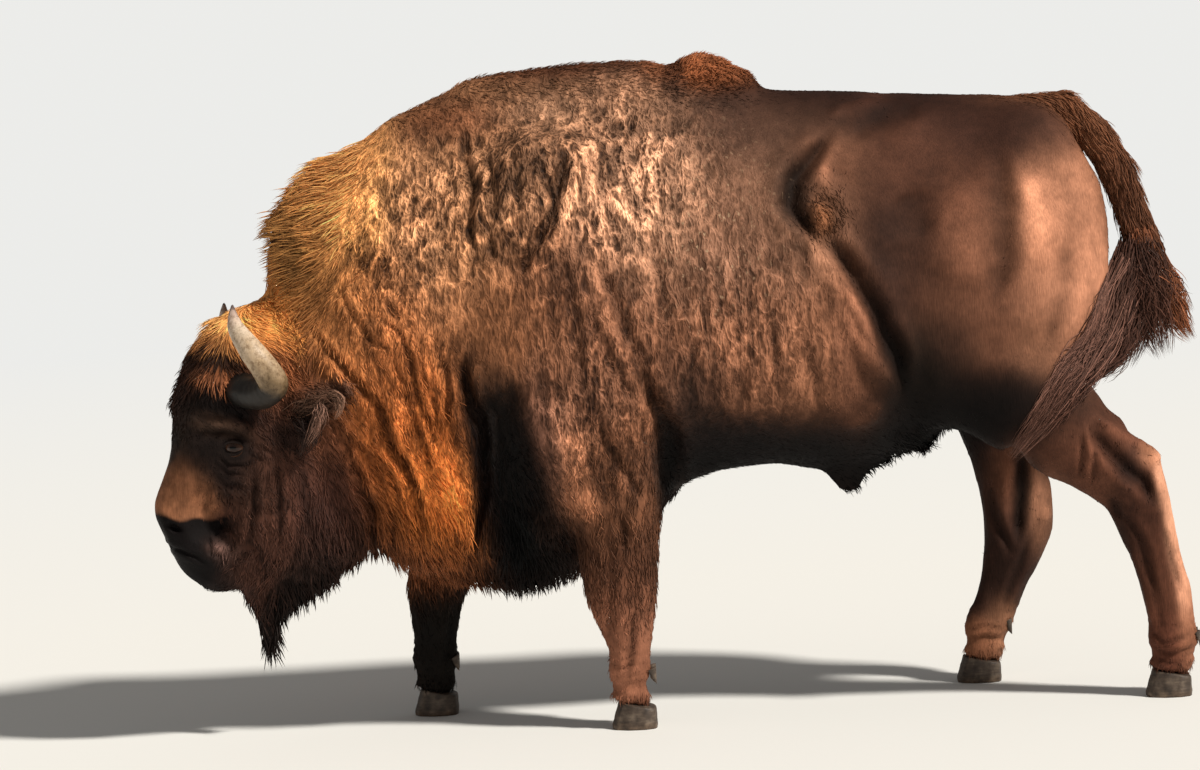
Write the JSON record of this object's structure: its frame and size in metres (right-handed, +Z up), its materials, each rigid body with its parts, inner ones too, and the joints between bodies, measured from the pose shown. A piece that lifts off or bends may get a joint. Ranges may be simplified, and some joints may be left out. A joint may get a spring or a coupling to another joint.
{
  "type": "european bison figure",
  "caption": "Life-size still figure of a European bison bull walking with its head lowered, with horns, beard, maned hump and a swinging tail tuft.",
  "frame": {"origin": "middle of the footprint, on the floor under the soles", "axes": "+X from the muzzle to the tail, -Y the animal's left side, +Z up"},
  "size_m": [2.8868, 0.715, 1.8249],
  "materials": {
    "brown_coat": "short matte summer coat",
    "rust_coat": "longer rust-brown hair",
    "dark_coat": "near-black hair of face, beard and tail tuft",
    "winter_wool": "shed winter wool, matte",
    "horn": "worn horn, half gloss",
    "hoof": "dark horn, half gloss",
    "eye": "wet gloss"
  },
  "bodies": {
    "root": {"barrel": "brown_coat", "beard": "dark_coat", "brisket_fringe": "dark_coat", "ear_left": "brown_coat", "ear_right": "brown_coat", "eye_left": "eye", "eye_right": "eye", "foreleg_left_claw_inner": "hoof", "foreleg_left_claw_outer": "hoof", "foreleg_left_dewclaw_inner": "hoof", "foreleg_left_dewclaw_outer": "hoof", "foreleg_left_lower": "brown_coat", "foreleg_left_upper": "brown_coat", "foreleg_right_claw_inner": "hoof", "foreleg_right_claw_outer": "hoof", "foreleg_right_dewclaw_inner": "hoof", "foreleg_right_dewclaw_outer": "hoof", "foreleg_right_lower": "brown_coat", "foreleg_right_upper": "brown_coat", "forelock": "rust_coat", "forequarters": "brown_coat", "head": "dark_coat", "hindleg_left_claw_inner": "hoof", "hindleg_left_claw_outer": "hoof", "hindleg_left_dewclaw_inner": "hoof", "hindleg_left_dewclaw_outer": "hoof", "hindleg_left_lower": "brown_coat", "hindleg_left_upper": "brown_coat", "hindleg_right_claw_inner": "hoof", "hindleg_right_claw_outer": "hoof", "hindleg_right_dewclaw_inner": "hoof", "hindleg_right_dewclaw_outer": "hoof", "hindleg_right_lower": "brown_coat", "hindleg_right_upper": "brown_coat", "hindquarters": "brown_coat", "horn_left": "horn", "horn_right": "horn", "lower_jaw": "dark_coat", "neck": "rust_coat", "sheath": "dark_coat", "tail_dock": "brown_coat", "tail_tuft": "dark_coat", "winter_wool": "winter_wool"}
  },
  "joints": []
}
